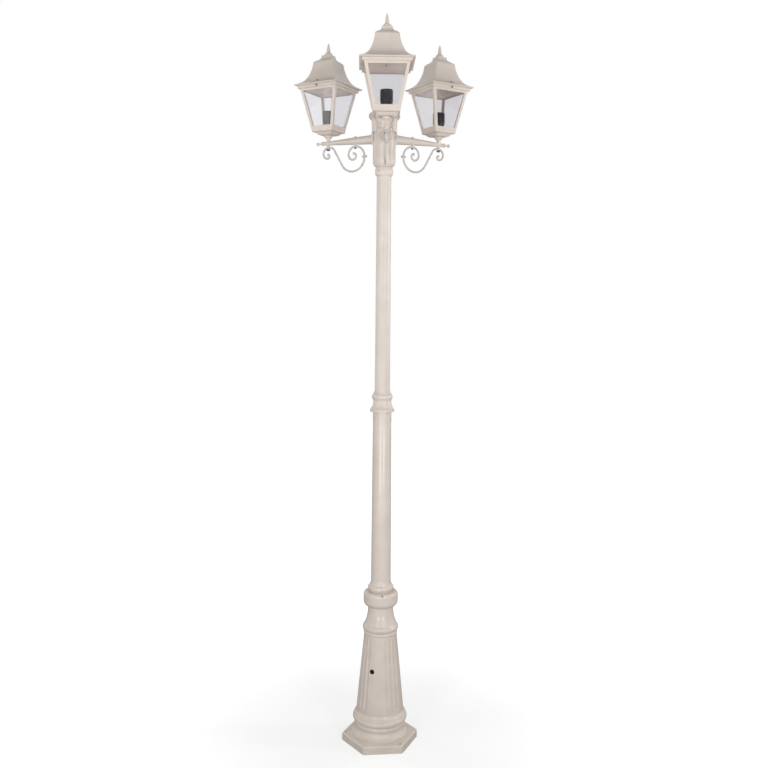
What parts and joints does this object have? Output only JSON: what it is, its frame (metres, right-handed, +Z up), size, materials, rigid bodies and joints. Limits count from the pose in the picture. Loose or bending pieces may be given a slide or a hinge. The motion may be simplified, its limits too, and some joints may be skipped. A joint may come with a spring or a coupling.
{
  "type": "triple head lamp post",
  "caption": "Tall garden lamp post with a fluted pedestal on a hexagonal foot, a stepped shaft and glazed lanterns on scrolled arms.",
  "frame": {"origin": "on the ground at the post's axis, which is the centre of the foot and of its anchor bolts", "axes": "+Z up the post; the front arm points along -Y and the others follow at 120 degrees, right arm towards +X"},
  "size_m": [0.6826, 0.5911, 2.7],
  "materials": {
    "cream_paint": "satin cream paint on cast aluminium",
    "cream_steel": "satin cream paint on bent steel bar",
    "steel": "plain zinc-plated steel",
    "brass": "pressed brass",
    "black_plastic": "black moulded plastic",
    "glass": "clear glass with bevelled edges"
  },
  "bodies": {
    "post": {"base_casting": "cream_paint", "collar_screws": "steel", "cable_plug": "black_plastic", "lower_shaft": "cream_paint", "shaft_coupling": "cream_paint", "upper_shaft": "cream_paint", "hub_ring": "cream_paint", "ring_screws": "steel", "hub_casting": "cream_paint", "hub_cap": "cream_paint", "arm_nuts": "steel", "scroll_screws": "steel", "scroll_nuts": "steel", "stem_nuts": "steel", "arm_front": "cream_paint", "ball_tip_front": "cream_paint", "scroll_front": "cream_steel", "stem_tube_front": "steel", "lantern_neck_front": "cream_paint", "lantern_bowl_front": "cream_paint", "lantern_frame_front": "cream_paint", "panes_front": "glass", "lampholder_front": "black_plastic", "socket_shell_front": "brass", "arm_right": "cream_paint", "ball_tip_right": "cream_paint", "scroll_right": "cream_steel", "stem_tube_right": "steel", "lantern_neck_right": "cream_paint", "lantern_bowl_right": "cream_paint", "lantern_frame_right": "cream_paint", "panes_right": "glass", "lampholder_right": "black_plastic", "socket_shell_right": "brass", "arm_left": "cream_paint", "ball_tip_left": "cream_paint", "scroll_left": "cream_steel", "stem_tube_left": "steel", "lantern_neck_left": "cream_paint", "lantern_bowl_left": "cream_paint", "lantern_frame_left": "cream_paint", "panes_left": "glass", "lampholder_left": "black_plastic", "socket_shell_left": "brass"},
    "lid_front": {"lantern_roof_front": "cream_paint", "roof_screws_front": "steel", "finial_front": "cream_paint"},
    "lid_right": {"lantern_roof_right": "cream_paint", "roof_screws_right": "steel", "finial_right": "cream_paint"},
    "lid_left": {"lantern_roof_left": "cream_paint", "roof_screws_left": "steel", "finial_left": "cream_paint"}
  },
  "joints": [
    {"name": "lid_lift_front", "type": "slide", "parent": "post", "child": "lid_front", "axis": [0, 0, 1], "range_m": [0, 0.1]},
    {"name": "lid_lift_right", "type": "slide", "parent": "post", "child": "lid_right", "axis": [0, 0, 1], "range_m": [0, 0.1]},
    {"name": "lid_lift_left", "type": "slide", "parent": "post", "child": "lid_left", "axis": [0, 0, 1], "range_m": [0, 0.1]}
  ]
}
